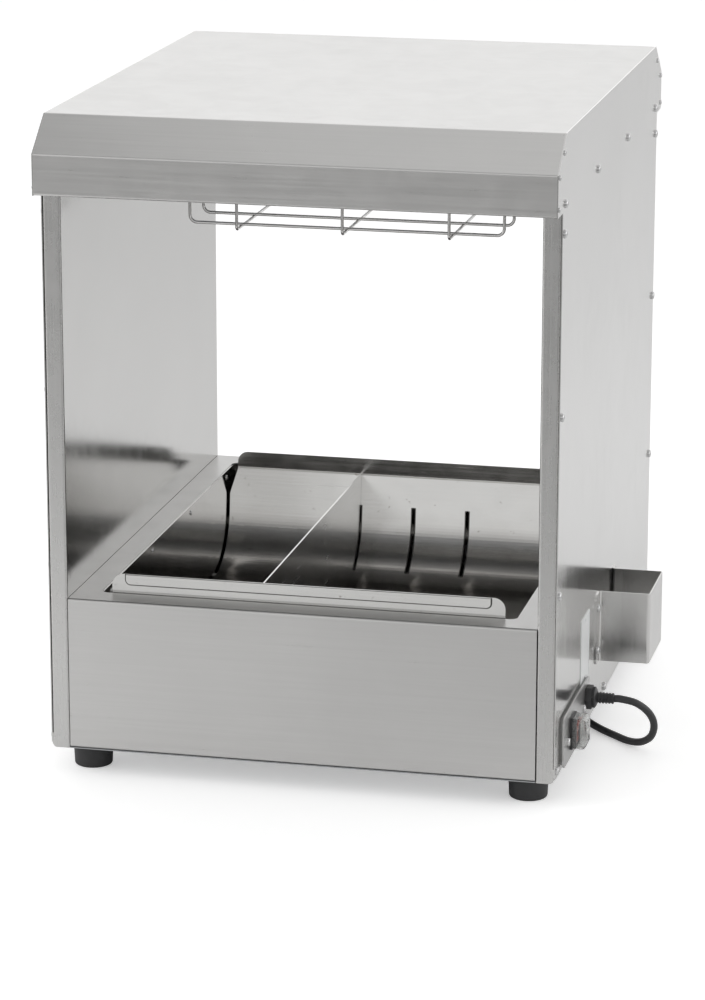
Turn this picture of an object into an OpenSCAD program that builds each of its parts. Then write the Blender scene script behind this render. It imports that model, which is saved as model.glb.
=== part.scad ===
// Counter-top chip warmer: a heated well with a lift-out pan under a hood with two quartz lamps.
// X runs to the right of the server, Y to the back and Z up. The table is z = 0.

/* [Overall size] */
// Width across the two side skins
body_w = 480; // [460:5:520]
// Depth of the side walls, front to back
body_d = 550; // [530:5:590]
// Height from the table to the flat top of the hood
body_h = 625; // [600:5:660]
// Height of the deck above the table
deck_h = 171.5; // [166:0.5:180]
// Thickness of the folded stainless sheet
sheet_t = 1; // [0.8:0.1:1.2]
// Radius on the outside of each fold
fold_r = 2.5; // [2:0.5:4]

/* [Hood] */
// How far the hood stands out past the side walls, front and back
hood_over = 26; // [20:1:32]
// Height of the upright hood fascia
fascia_h = 38; // [34:1:44]
// Depth of the sloped hood band, seen from above
slope_d = 39.5; // [34:0.5:46]
// Height of the sloped hood band
slope_h = 31; // [26:1:36]
// Width of the folded flanges inside the hood
hood_flange = 12; // [10:1:14]

/* [Side walls] */
// Width of each post face at the front and back of a side wall
post_w = 18; // [16:1:22]
// Width of the flanges that the side skins are screwed to
post_flange = 16; // [14:1:20]
// Radius of the outer bottom corner of each post
post_corner_r = 4; // [2:0.5:6]
// Gap between the table side of the skin and the bottom of the post
skin_lift = 3; // [2:0.5:5]

/* [Base and well] */
// Height of the feet, which is also the height of the base above the table
foot_h = 25; // [20:1:30]
// Distance from the side of the body to the end of the well opening
well_end = 42; // [38:1:50]
// Distance from the front or back of the body to the well opening
well_edge = 28; // [24:1:36]
// Corner radius of the well opening in the deck
well_corner_r = 8; // [5:1:12]
// Height of the well floor above the base floor
well_lift = 20; // [15:1:26]
// Depth of the turned-down flange at each end of the well opening
well_flange = 16; // [14:1:20]
// Width of the turned-in flange under the front and back panels
shell_flange = 14; // [12:1:18]

/* [Pan and divider] */
// Depth of the pan floor below the deck, measured to its underside
pan_depth = 99; // [92:1:102]
// Height of the pan lips above the deck
pan_lip_h = 18.5; // [15:0.5:22]
// Height of the fold below each lip above the deck
pan_rim = 2.5; // [1:0.5:4]
// Gap between the front lip and the front edge of the well opening
pan_lip_gap = 1.5; // [1:0.5:4]
// Gap between the back lip and the back edge of the well opening
pan_back_gap = 22; // [16:1:26]
// Gap between a pan end and the end wall of the well
pan_end_gap = 2; // [1:0.5:4]
// How far each pan lip is cut back from the pan end
pan_lip_cut = 8; // [6:0.5:14]
// Corner radius of the pan lips
pan_lip_r = 11; // [8:1:15]
// Inward lean of each pan wall over its height
pan_lean = 11; // [6:1:16]
// Radius between the pan walls and its floor
pan_bend_r = 62; // [50:1:66]
// Depth of the safe edge folded outward on each lip
hem_h = 10; // [6:0.5:11]
// Distance between two places of the divider
slot_pitch = 57; // [50:1:64]
// Width of the slots for the divider tabs
slot_w = 3.5; // [3:0.1:4]
// Length of the slots for the divider tabs
slot_l = 61; // [54:1:62]
// Thickness of the divider
divider_t = 1.5; // [1:0.1:2]

/* [Lamps and guard] */
// Distance of each lamp from the middle of the hood
lamp_y = 46; // [44:1:52]
// Height of the upturned sides of the hood ceiling
ceiling_rim = 15; // [12:1:18]
// Length of each lamp that the ceiling hides at its window's end
window_in = 16; // [12:1:20]
// Height of the lamp axis above the hood ceiling
lamp_lift = 15; // [13:1:18]
// Outer diameter of the quartz tubes
lamp_d = 11; // [9:0.5:13]
// Length of the quartz tubes
lamp_l = 276; // [250:2:300]
// Inner radius of each half-round reflector channel
reflector_r = 42; // [38:1:43]
// Wire diameter of the lamp guard
wire_d = 3; // [2.5:0.1:3.6]
// Length of the guard, outside the wires
guard_l = 307; // [296:1:330]
// Depth of the guard, between the axes of its cross wires
guard_d = 200; // [196:1:216]
// How far the guard hangs under the hood ceiling
guard_drop = 65; // [50:1:75]
// Distance between the outer and inner long wires of the guard
guard_step = 50; // [40:1:60]

/* [Heating element] */
// How far the supports of the element reach past its outer runs
support_over = 14; // [10:1:18]
// Distance of each support of the element from its middle
support_x = 100; // [80:1:110]
// Diameter of the sheathed heating element
element_d = 8; // [6.5:0.5:9]
// Distance between its straight runs
element_pitch = 58; // [50:1:62]
// Half length of its straight runs
element_run = 150; // [120:1:155]

/* [Controls] */
// Height of the control plate
plate_h = 49; // [46:1:54]
// Depth of the control plate, front to back
plate_d = 142; // [136:1:150]
// Distance from the front of the side wall to the control plate
plate_front = 27; // [22:1:34]
// Height of the control plate above the bottom of the base
plate_lift = 5; // [4:0.5:8]
// Thickness of the control plate
plate_t = 1.5; // [1:0.1:2]
// Thickness of the gasket behind the control plate
gasket_t = 2; // [1:0.5:3]
// Distance from the front edge of the control plate to the switch centre
switch_in = 44; // [40:1:50]
// Distance from the front edge of the control plate to the cable gland
gland_in = 124; // [120:1:126]
// Cable gland width across its flats
gland_flats = 21; // [20:0.5:24]
// Length of the tapered bend relief of the gland
relief_l = 20; // [20:1:30]

/* [Scoop holder] */
// How far the holder stands out from the side skin
holder_out = 50; // [44:1:60]
// Depth of the holder, front to back, outside
holder_d = 82; // [70:1:96]
// Height of the holder
holder_h = 70; // [60:1:80]
// Height of the bottom of the holder above the table
holder_z = 72; // [62:1:76]
// Thickness of the holder sheet
holder_t = 1.2; // [1:0.1:1.5]
// Width of the holder flanges
holder_flange = 15; // [14:1:18]

/* [Feet and fasteners] */
// Diameter of each foot at the top
foot_d = 38; // [34:1:42]
// Diameter of each foot at the bottom
foot_low_d = 36; // [32:1:40]
// Distance from the side of the body to the foot centres
foot_in_x = 30.5; // [28:0.5:34]
// Distance from the front or back of the body to the foot centres
foot_in_y = 35; // [32:1:44]
// Head diameter of the large pan-head screws
screw_head_d = 8; // [7:0.5:8.5]
// Head height of the large pan-head screws
screw_head_h = 2.4; // [2:0.1:3]
// Thread diameter of the large pan-head screws
screw_d = 4; // [3.5:0.5:4.5]
// Head diameter of the small screws along the hood ends
small_head_d = 5; // [4.5:0.5:5.5]
// Thread diameter of the small screws
small_d = 2.5; // [2:0.5:3]

/* [Mains cord] */
// Diameter of the cord
cord_d = 7.2; // [6.8:0.1:7.4]
// Mean radius of the stored coil
coil_r = 43; // [40:1:45]

/* [Hidden] */
$fn = 48;

// Clearance between two pieces that seat on each other without touching
seat_gap = 0.3;
// Clearance all round a screw in its hole
hole_gap = 0.2;

half_w = body_w / 2;
half_d = body_d / 2;
hood_y = half_d + hood_over;
top_y = hood_y - slope_d;
slope_z = body_h - slope_h;
hood_z = slope_z - fascia_h;
post_x = half_w - post_w;
skin_in = half_w - sheet_t;
skin_z = foot_h + skin_lift;
ceiling_z = hood_z + sheet_t;
ceiling_top = ceiling_z + sheet_t;

open_x = half_w - well_end;
open_y = half_d - well_edge;
deck_under = deck_h - sheet_t;
floor_top = foot_h + sheet_t;
well_z = floor_top + well_lift;
well_top = deck_under - seat_gap;
well_y = open_y + sheet_t + seat_gap;
shell_x = post_x - seat_gap;

pan_x = open_x - sheet_t - pan_end_gap;
pan_y = open_y - (pan_lip_gap + pan_back_gap) / 2;
pan_mid = (pan_lip_gap - pan_back_gap) / 2;
pan_z = deck_h - pan_depth;
lip_x = pan_x - pan_lip_cut;
lip_top = deck_h + pan_lip_h;
rim_z = deck_h + pan_rim;
slot_top = pan_z + 68.5;
slot_low = slot_top - slot_l;
first_slot = -55;

row_y = half_d - 12;
column_y = half_d - 9;
column_low = foot_h + 10;
column_top = hood_z - 20;
hood_row_z = ceiling_z + 5.5;
well_screw_z = deck_h - 8;

plate_y0 = plate_front - half_d;
plate_z0 = foot_h + plate_lift;
plate_z = plate_z0 + plate_h / 2;
plate_x = half_w + gasket_t + plate_t;
switch_y = plate_y0 + switch_in;
gland_y = plate_y0 + gland_in;
gland_z = plate_z + 7.5;
bezel_w = 25.5;
bezel_h = 31;
bezel_t = 2.5;
rocker_w = 17.6;
rocker_h = 22;
rocker_reach = 5.5;
rocker_tilt = 8;
pivot_r = 1.5;
pivot_gap = 0.05;
pivot_x = plate_x + 1;

element_z = (well_z + sheet_t + pan_z) / 2;
cap_r = lamp_d / 2 + 2.6;
cap_l = 20;
lamp_z = ceiling_top + lamp_lift;
wire_z = ceiling_z - guard_drop + wire_d;
leg_top = ceiling_top + 5;

// Moves the body so that the middle of its whole reach, screw heads to holder, is x = 0
mid_x = (screw_head_h - holder_out) / 2;

function unit(v) = v / norm(v);
function left_of(v) = [-v[1], v[0]];
function turn_at(path, i) =
    let (a = path[i] - path[i - 1], b = path[i + 1] - path[i])
    atan2(a[0] * b[1] - a[1] * b[0], a * b);

// A line of points moved to the left of its travel, with its corners kept sharp
function shift_left(path, d) = [
    for (i = [0 : len(path) - 1])
        let (
            i1 = max(i, 1),
            i2 = min(i, len(path) - 2),
            n1 = left_of(unit(path[i1] - path[i1 - 1])),
            n2 = left_of(unit(path[i2 + 1] - path[i2]))
        )
        path[i] + (n1 + n2) * d / (1 + n1 * n2)
];

module placed() {
    translate([mid_x, 0, 0]) children();
}

module both_ends() {
    children();
    mirror([1, 0, 0]) children();
}

module front_and_back() {
    children();
    mirror([0, 1, 0]) children();
}

// Extrudes a YZ outline from one x to another
module along_x(from, to) {
    translate([from, 0, 0]) rotate([90, 0, 90]) linear_extrude(to - from) children();
}

// Extrudes an XZ outline from one y to another
module along_y(from, to) {
    translate([0, to, 0]) rotate([90, 0, 0]) linear_extrude(to - from) children();
}

module ring_sector(r_in, r_out, angle) {
    reach = 2 * r_out;
    flip = angle < 0 ? 1 : 0;
    a = abs(angle);
    intersection() {
        difference() {
            circle(r_out);
            circle(r_in);
        }
        mirror([0, flip])
            polygon([[0, 0], [reach, 0], reach * [cos(a / 3), sin(a / 3)],
                reach * [cos(a * 2 / 3), sin(a * 2 / 3)], reach * [cos(a), sin(a)]]);
    }
}

// Section of a sheet with square folds, whose metal lies to the left of the given face line.
// Each inner corner of the line has its own radius, measured on that face.
module folded_section(face, t, radii) {
    mid = shift_left(face, t / 2);
    last = len(mid) - 1;
    turns = [for (i = [0 : last]) i == 0 || i == last ? 0 : turn_at(mid, i)];
    bend = [for (i = [0 : last])
        i == 0 || i == last ? 0 : radii[i - 1] - sign(turns[i]) * t / 2];
    cut = [for (i = [0 : last]) bend[i] * tan(abs(turns[i]) / 2)];
    for (i = [0 : last - 1]) {
        run = mid[i + 1] - mid[i];
        along = unit(run);
        translate(mid[i] + along * cut[i])
            rotate(atan2(along[1], along[0]))
                translate([0, -t / 2]) square([norm(run) - cut[i] - cut[i + 1], t]);
    }
    for (i = [1 : last - 1]) {
        along = unit(mid[i] - mid[i - 1]);
        toward = sign(turns[i]) * left_of(along);
        translate(mid[i] - along * cut[i] + toward * bend[i])
            rotate(atan2(-toward[1], -toward[0]))
                ring_sector(bend[i] - t / 2, bend[i] + t / 2, turns[i]);
    }
}

function reversed(list) = [for (i = [len(list) - 1 : -1 : 0]) list[i]];

// A line whose inner corners are rounded, in steps of 3 degrees or, on a tight fold, of 10
function rounded_line(path, radii) = [
    path[0],
    for (i = [1 : len(path) - 2])
        let (
            turn = turn_at(path, i),
            along = unit(path[i] - path[i - 1]),
            toward = sign(turn) * left_of(along),
            r = radii[i - 1],
            hub = path[i] - along * r * tan(abs(turn) / 2) + toward * r,
            start = atan2(-toward[1], -toward[0]),
            n = ceil(abs(turn) / (r > 10 ? 3 : 10))
        )
        for (k = [0 : n])
            hub + r * [cos(start + turn * k / n), sin(start + turn * k / n)],
    path[len(path) - 1]
];

// A face line moved to the left by d, with each bend kept about its own centre
function bent_line(face, radii, d) =
    rounded_line(shift_left(face, d), [for (i = [1 : len(face) - 2])
        radii[i - 1] - sign(turn_at(face, i)) * d]);

// Section of a sheet with slanted folds
module bent_section(face, t, radii) {
    polygon(concat(bent_line(face, radii, 0), reversed(bent_line(face, radii, t))));
}

module round_rect(w, h, r) {
    square([w - 2 * r, h], center = true);
    square([w, h - 2 * r], center = true);
    for (x = [-1, 1], y = [-1, 1])
        translate([x * (w / 2 - r), y * (h / 2 - r)]) circle(r);
}

module stadium(l, w) {
    square([l - w, w], center = true);
    for (x = [-1, 1]) translate([x * (l - w) / 2, 0]) circle(w / 2);
}

// Pan-head screw with its head on z = 0 and its shank below
module pan_screw(d, l, head_d, head_h) {
    cylinder(h = head_h * 0.45, r = head_d / 2);
    translate([0, 0, head_h * 0.45])
        cylinder(h = head_h * 0.55, r1 = head_d / 2, r2 = head_d * 0.3);
    translate([0, 0, -l]) cylinder(h = l, r = d / 2);
}

// Places a screw or a hole on the right side at [y, z], its axis along +X
module on_side(x, spots) {
    for (p = spots) translate([x, p[0], p[1]]) rotate([0, 90, 0]) children();
}

module side_holes(x, spots, d) {
    on_side(x - 3, spots) cylinder(h = 6, r = d / 2 + hole_gap);
}

column_spots = [for (i = [0 : 3], y = [-1, 1])
    [y * column_y, column_low + i * (column_top - column_low) / 3]];
bottom_spot = [[0, foot_h + 8.5]];
hood_row_spots = [for (y = [-1, -1 / 3, 1 / 3, 1]) [y * row_y, hood_row_z]];
side_spots = concat(column_spots, bottom_spot, hood_row_spots);

// Three small screws on each sloped end of the hood, front and back
slope_dir = unit([-slope_d, slope_h]);
hood_end_spots = [for (s = [-1, 1], p = [
    [hood_y - 5, hood_z + 7],
    [hood_y - 7, slope_z - 3],
    [hood_y, slope_z] + slope_dir * norm([slope_d, slope_h]) * 0.65 + left_of(slope_dir) * 6
]) [s * p[0], p[1]]];

holder_y = [-holder_d / 2 + 1, holder_d / 2 + 1];
holder_spots = [for (y = [holder_y[0] - 3 - holder_flange / 2, holder_y[1] + 3 + holder_flange / 2],
    z = [holder_z + holder_h * 0.2, holder_z + holder_h * 0.8]) [y, z]];
plate_spots = [[plate_y0 + plate_d * 0.155, plate_z - plate_h * 0.08],
    [gland_y - plate_d * 0.113, plate_z + plate_h * 0.02]];

// Outline of the hood and of the skins that close its ends, as [y, z] from the back round to the front
hood_line = [[hood_y, hood_z], [hood_y, slope_z], [top_y, body_h],
    [-top_y, body_h], [-hood_y, slope_z], [-hood_y, hood_z]];

module hood_cover() {
    face = concat([[hood_y - hood_flange, hood_z]], hood_line, [[hood_flange - hood_y, hood_z]]);
    radii = [for (i = face) fold_r];
    color("silver") difference() {
        union() {
            along_x(-skin_in, skin_in) bent_section(face, sheet_t, radii);
            both_ends() along_x(skin_in - sheet_t, skin_in) difference() {
                polygon(bent_line(face, radii, sheet_t / 2));
                polygon(concat([[hood_y - hood_flange, hood_z - 1]],
                    shift_left(hood_line, hood_flange), [[hood_flange - hood_y, hood_z - 1]]));
            }
        }
        both_ends() side_holes(skin_in - sheet_t / 2, hood_end_spots, small_d);
    }
}

// Places of the guard legs in the ceiling, as [x, y]
guard_x = guard_l / 2 - wire_d / 2;
guard_outer_y = guard_d / 2 - guard_step * 0.3;
guard_inner_y = guard_outer_y - guard_step;
long_wire_y = [-guard_outer_y, -guard_inner_y, guard_inner_y, guard_outer_y];
cross_wire_x = [-guard_l / 3, 0, guard_l / 3];
leg_spots = concat(
    [for (x = [-guard_x, guard_x], y = long_wire_y) [x, y]],
    [for (x = cross_wire_x, y = [-guard_d / 2, guard_d / 2]) [x, y]]);
window_x = lamp_l / 2 - window_in;

module hood_ceiling() {
    half = skin_in;
    top = ceiling_z + ceiling_rim;
    color("gainsboro") difference() {
        along_y(-hood_y + fold_r, hood_y - fold_r)
            folded_section([[-half, top], [-half, ceiling_z], [half, ceiling_z], [half, top]],
                sheet_t, [fold_r, fold_r]);
        for (s = [-1, 1]) translate([0, s * lamp_y, ceiling_z])
            cube([2 * window_x, 2 * reflector_r, 4 * sheet_t], center = true);
        for (p = leg_spots) translate([p[0], p[1], ceiling_z - 1])
            cylinder(h = sheet_t + 2, r = wire_d / 2 + hole_gap);
        both_ends() side_holes(skin_in - sheet_t / 2, hood_row_spots, screw_d);
        // Clear of the flanges folded in at the hood ends
        both_ends() front_and_back()
            translate([skin_in - 2.5 * sheet_t, hood_y - hood_flange - 2, ceiling_z - 1])
                cube([4 * sheet_t, hood_flange + 4, ceiling_rim + 6]);
    }
}

module hood_end_screws() {
    color("silver") both_ends() on_side(half_w, hood_end_spots)
        pan_screw(small_d, 5, small_head_d, 1.5);
}

module lamp_reflector() {
    t = 0.8;
    color("white") difference() {
        union() {
            along_x(-window_x - 2, window_x + 2) for (s = [-1, 1]) {
                translate([s * lamp_y, ceiling_top]) intersection() {
                    difference() {
                        circle(reflector_r + t);
                        circle(reflector_r);
                    }
                    translate([-2 * reflector_r, 0]) square([4 * reflector_r, 2 * reflector_r]);
                }
                translate([s > 0 ? lamp_y + reflector_r : -lamp_y - reflector_r - 9, ceiling_top])
                    square([9, t]);
                translate([-lamp_y + reflector_r, ceiling_top])
                    square([2 * (lamp_y - reflector_r), t]);
            }
            for (s = [-1, 1], e = [-1, 1])
                along_x(e * (window_x + 2) - t / 2, e * (window_x + 2) + t / 2)
                    translate([s * lamp_y, ceiling_top]) intersection() {
                        circle(reflector_r + t / 2);
                        translate([-2 * reflector_r, 0]) square([4 * reflector_r, 2 * reflector_r]);
                    }
        }
        for (s = [-1, 1]) translate([-half_w, s * lamp_y, lamp_z]) rotate([0, 90, 0])
            cylinder(h = body_w, r = lamp_d / 2 + 1.5);
    }
}

module quartz_lamp(side) {
    color("lightyellow") translate([-lamp_l / 2, side * lamp_y, lamp_z]) rotate([0, 90, 0])
        difference() {
            cylinder(h = lamp_l, r = lamp_d / 2);
            translate([0, 0, 4]) cylinder(h = lamp_l - 8, r = lamp_d / 2 - 1);
        }
}

module quartz_lamp_front() { quartz_lamp(-1); }
module quartz_lamp_rear() { quartz_lamp(1); }

module lamp_end_caps() {
    color("ivory") both_ends() for (s = [-1, 1])
        translate([lamp_l / 2 - 9, s * lamp_y, lamp_z]) rotate([0, 90, 0]) difference() {
            union() {
                cylinder(h = cap_l, r = cap_r);
                translate([0, 0, cap_l]) cylinder(h = 5, r1 = cap_r, r2 = 4);
            }
            translate([0, 0, -1]) cylinder(h = 10 + seat_gap, r = lamp_d / 2 + seat_gap / 2);
        }
}

module lamp_brackets() {
    t = 1.2;
    x = lamp_l / 2 + 2;
    color("silver") both_ends() for (s = [-1, 1]) difference() {
        union() {
            translate([0, s * lamp_y, 0]) along_y(-cap_r - 4, cap_r + 4)
                folded_section([[x - 13, ceiling_top], [x + t, ceiling_top],
                    [x + t, ceiling_top + 8]], t, [2.4]);
            translate([0, s * lamp_y, 0]) along_x(x, x + t) {
                translate([-cap_r - 4, ceiling_top + 4])
                    square([2 * cap_r + 8, lamp_lift - 4]);
                translate([0, lamp_z]) circle(cap_r + 4);
            }
        }
        translate([x - 1, s * lamp_y, lamp_z]) rotate([0, 90, 0])
            cylinder(h = t + 2, r = cap_r + 0.15);
    }
}

// Wire bent up at both ends, in the XZ plane, with its run centred on z = 0
module bent_wire(half, rise, bend) {
    r = wire_d / 2;
    translate([-half + bend, 0, 0]) rotate([0, 90, 0]) cylinder(h = 2 * (half - bend), r = r);
    for (s = [-1, 1]) {
        translate([s * half, 0, bend]) cylinder(h = rise - bend, r = r);
        translate([s * (half - bend), 0, bend]) rotate([90, 0, 0])
            rotate([0, 0, s > 0 ? -90 : 180])
                rotate_extrude(angle = 90) translate([bend, 0]) circle(r);
    }
}

module wire_guard() {
    cross_z = wire_z - wire_d * 0.9;
    color("silver") {
        for (y = long_wire_y) translate([0, y, wire_z])
            bent_wire(guard_x, leg_top - wire_z, 7);
        for (x = cross_wire_x) translate([x, 0, cross_z]) rotate([0, 0, 90])
            bent_wire(guard_d / 2, leg_top - cross_z, 4);
    }
}

module side_outline() {
    y = half_d;
    polygon(concat([[-y, skin_z + 3], [-y + 3, skin_z], [y - 3, skin_z], [y, skin_z + 3],
        [y, hood_z]], hood_line, [[-y, hood_z]]));
}

module control_opening(grow) {
    translate([switch_y, plate_z]) square([bezel_w - 3 + grow, bezel_h - 3 + grow], center = true);
    translate([gland_y, gland_z]) circle(gland_flats / 2 - 1 + grow / 2);
}

module side_skin() {
    color("silver") difference() {
        along_x(skin_in, half_w) side_outline();
        side_holes(half_w - sheet_t / 2, side_spots, screw_d);
        side_holes(half_w - sheet_t / 2, hood_end_spots, small_d);
        children();
    }
}

module side_skin_left() {
    mirror([1, 0, 0]) side_skin();
}

module side_skin_right() {
    side_skin() {
        side_holes(half_w - sheet_t / 2, holder_spots, screw_d);
        side_holes(half_w - sheet_t / 2, plate_spots, screw_d);
        along_x(skin_in - 1, half_w + 1) control_opening(3);
    }
}

module side_frame() {
    y = half_d;
    color("gainsboro") difference() {
        union() {
            intersection() {
                translate([0, 0, foot_h]) linear_extrude(ceiling_z - foot_h)
                    folded_section([[skin_in, y - post_flange], [skin_in, y], [post_x, y],
                        [post_x, -y], [skin_in, -y], [skin_in, post_flange - y]], sheet_t,
                        [fold_r, fold_r, fold_r, fold_r]);
                along_y(-y - 1, y + 1) {
                    translate([post_x - 1, foot_h]) square([post_w - post_corner_r, body_h]);
                    translate([post_x - 1, foot_h + post_corner_r]) square([post_w, body_h]);
                    translate([skin_in - post_corner_r, foot_h + post_corner_r])
                        circle(post_corner_r);
                }
            }
            along_y(-y + sheet_t / 2, y - sheet_t / 2)
                folded_section([[post_x + sheet_t / 2, foot_h], [skin_in, foot_h],
                    [skin_in, foot_h + post_flange - 2]], sheet_t, [post_corner_r]);
        }
        side_holes(skin_in - sheet_t / 2, concat(column_spots, bottom_spot), screw_d);
        children();
    }
}

module side_frame_left() {
    mirror([1, 0, 0]) side_frame();
}

module side_frame_right() {
    // Window through which the switch and the wiring reach the base
    side_frame() along_x(post_x - 1, post_x + sheet_t + 1)
        translate([plate_y0, foot_h + 9]) square([plate_d + 60, 54]);
}

module side_screws_left() {
    mirror([1, 0, 0]) side_screws_right();
}

module side_screws_right() {
    color("silver") on_side(half_w, side_spots)
        pan_screw(screw_d, 8, screw_head_d, screw_head_h);
}

floor_spots = [for (x = [-1, -1 / 3, 1 / 3, 1], y = [-1, 1])
    [x * (shell_x - 22), y * (half_d - shell_flange / 2 - sheet_t)]];

module base_shell() {
    y = half_d;
    z = floor_top;
    face = [[y - shell_flange, z], [y, z], [y, deck_h], [-y, deck_h], [-y, z],
        [shell_flange - y, z]];
    end_y = open_y - well_corner_r - 3;
    color("silver") difference() {
        union() {
            difference() {
                along_x(-shell_x, shell_x) folded_section(face, sheet_t,
                    [for (i = face) fold_r]);
                translate([0, 0, deck_h - 10]) linear_extrude(20)
                    round_rect(2 * open_x, 2 * open_y, well_corner_r);
            }
            both_ends() along_x(open_x, open_x + sheet_t)
                translate([-end_y, deck_h - well_flange])
                    square([2 * end_y, well_flange - sheet_t / 2]);
        }
        both_ends() side_holes(open_x + sheet_t / 2, well_spots, small_d);
        for (p = floor_spots) translate([p[0], p[1], z - 1])
            cylinder(h = sheet_t + 2, r = small_d / 2 + hole_gap);
    }
}

well_spots = [for (i = [-1.5, -0.5, 0.5, 1.5]) [i * (open_y - 33) * 2 / 3, well_screw_z]];
foot_spots = [for (x = [-1, 1], y = [-1, 1])
    [x * (half_w - foot_in_x), y * (half_d - foot_in_y)]];

module base_floor() {
    color("darkgray") translate([0, 0, foot_h]) linear_extrude(sheet_t) difference() {
        square([2 * shell_x, 2 * (half_d - seat_gap)], center = true);
        for (x = [-1, 1], i = [-4 : 4]) translate([x * 70, i * 22]) stadium(90, 5);
        for (p = foot_spots) translate(p) circle(2.5 + hole_gap);
        for (p = floor_spots) translate(p) circle(small_d / 2 + hole_gap);
    }
}

module floor_screws() {
    color("silver") for (p = floor_spots) translate([p[0], p[1], foot_h]) mirror([0, 0, 1])
        pan_screw(small_d, 5, small_head_d, 1.5);
}

module feet() {
    edge = 2.5;
    color("black") for (p = foot_spots) translate(p) difference() {
        rotate_extrude() {
            polygon([[0, 0], [foot_low_d / 2 - edge, 0], [foot_low_d / 2, edge],
                [foot_d / 2, foot_h], [0, foot_h]]);
            translate([foot_low_d / 2 - edge, edge]) circle(edge);
        }
        translate([0, 0, -1]) cylinder(h = 11, r = 7.5);
        cylinder(h = foot_h + 1, r = 2.5 + hole_gap);
    }
}

module foot_screws() {
    color("silver") for (p = foot_spots) translate(p) {
        translate([0, 0, 10]) mirror([0, 0, 1]) pan_screw(5, foot_h + sheet_t - 2, 9.5, 3.5);
        translate([0, 0, floor_top]) cylinder(h = 4, r = 4.6, $fn = 6);
    }
}

element_rows = [for (i = [-1.5, -0.5, 0.5, 1.5]) i * element_pitch];
sleeve_r = element_d / 2 + 1.5;

module well_liner() {
    y = well_y;
    in_y = y - sheet_t / 2;
    color("gainsboro") difference() {
        union() {
            along_x(-open_x, open_x) folded_section(
                [[-y, well_top], [-y, well_z], [y, well_z], [y, well_top]], sheet_t, [4, 4]);
            both_ends() along_x(open_x - sheet_t, open_x) {
                translate([-in_y, well_z + 4]) square([2 * in_y, well_top - well_z - 4]);
                translate([4 - y, well_z + sheet_t / 2]) square([2 * y - 8, 8]);
                for (s = [-1, 1]) translate([s * (y - 4), well_z + 4]) circle(4 - sheet_t / 2);
            }
        }
        both_ends() side_holes(open_x - sheet_t / 2, well_spots, small_d);
        for (e = [0, 3]) translate([open_x - 5, element_rows[e], element_z]) rotate([0, 90, 0])
            cylinder(h = 10, r = sleeve_r + hole_gap);
    }
}

module well_screws() {
    color("silver") both_ends() for (p = well_spots)
        translate([open_x - sheet_t, p[0], p[1]]) rotate([0, -90, 0])
            pan_screw(small_d, 5, small_head_d, 1);
}

rail_y = 2 * element_pitch + support_over;
rail_w = 20;

module pan_rails() {
    t = 1.2;
    z = well_z + sheet_t;
    color("silver") front_and_back() translate([0, rail_y, 0]) along_x(-open_x + 18, open_x - 18)
        folded_section([[-rail_w / 2 - 9, z], [t - rail_w / 2, z], [t - rail_w / 2, pan_z - t],
            [rail_w / 2 - t, pan_z - t], [rail_w / 2 - t, z], [rail_w / 2 + 9, z]], t,
            [2.4, 1.2, 1.2, 2.4]);
}

// Outer face of the pan from the front lip to the back lip, as [y, z]
pan_line = [[-pan_y, lip_top], [-pan_y, rim_z], [pan_lean - pan_y, pan_z],
    [pan_y - pan_lean, pan_z], [pan_y, rim_z], [pan_y, lip_top]];

pan_radii = [3, pan_bend_r, pan_bend_r, 3];

module pan_end_outline() {
    x = pan_x;
    cut_z = deck_h - 26;
    r = pan_lip_r;
    polygon([[-x, pan_z - 5], [x, pan_z - 5], [x, cut_z], [lip_x, deck_h], [lip_x, lip_top - r],
        [lip_x - r, lip_top], [r - lip_x, lip_top], [-lip_x, lip_top - r], [-lip_x, deck_h],
        [-x, cut_z]]);
    for (s = [-1, 1]) translate([s * (lip_x - r), lip_top - r]) circle(r);
}

// Folded edge on the outside of the back lip
module pan_hem() {
    half = lip_x - pan_lip_r - 2;
    low = lip_top - hem_h;
    r = 5;
    gap = 0.2;
    bend = gap + sheet_t;
    intersection() {
        along_x(-half, half) {
            translate([pan_y + gap, low]) square([sheet_t, hem_h - bend]);
            translate([pan_y, lip_top - bend]) intersection() {
                circle(bend);
                translate([-gap, 0]) square(2 * bend);
            }
            translate([pan_y - 0.5, lip_top - bend - 3]) square([1, 3.2]);
        }
        along_y(pan_y - 5, pan_y + 5) {
            translate([-half, low + r]) square([2 * half, hem_h]);
            translate([-half + r, low]) square([2 * (half - r), hem_h]);
            for (s = [-1, 1]) translate([s * (half - r), low + r]) circle(r);
        }
    }
}

module divider_slot(x) {
    translate([x, 0, (slot_top + slot_low) / 2]) rotate([90, 90, 0])
        linear_extrude(pan_y + 20) stadium(slot_l, slot_w);
}

divider_places = [for (i = [0 : 2]) first_slot + i * slot_pitch];

module chip_pan() {
    floor_z = pan_z - 1;
    color("lightgray") translate([0, pan_mid, 0]) difference() {
        union() {
            intersection() {
                along_x(-pan_x - 1, pan_x + 1) bent_section(pan_line, sheet_t, pan_radii);
                along_y(-pan_y - 5, pan_y + 5) pan_end_outline();
            }
            front_and_back() pan_hem();
        }
        front_and_back() intersection() {
            for (x = divider_places) divider_slot(x);
            translate([-pan_x, -pan_y - 9, 0]) cube([2 * pan_x, pan_y / 2, body_h]);
        }
        // Crumb slots through the floor
        for (x = [-160 : 64 : 160], y = [-1, 1]) translate([x, y * 0.62 * pan_y, floor_z])
            linear_extrude(5) rotate(90) stadium(26, 4);
    }
}

tab_low = slot_low + 21;
tab_h = 12;

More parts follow.
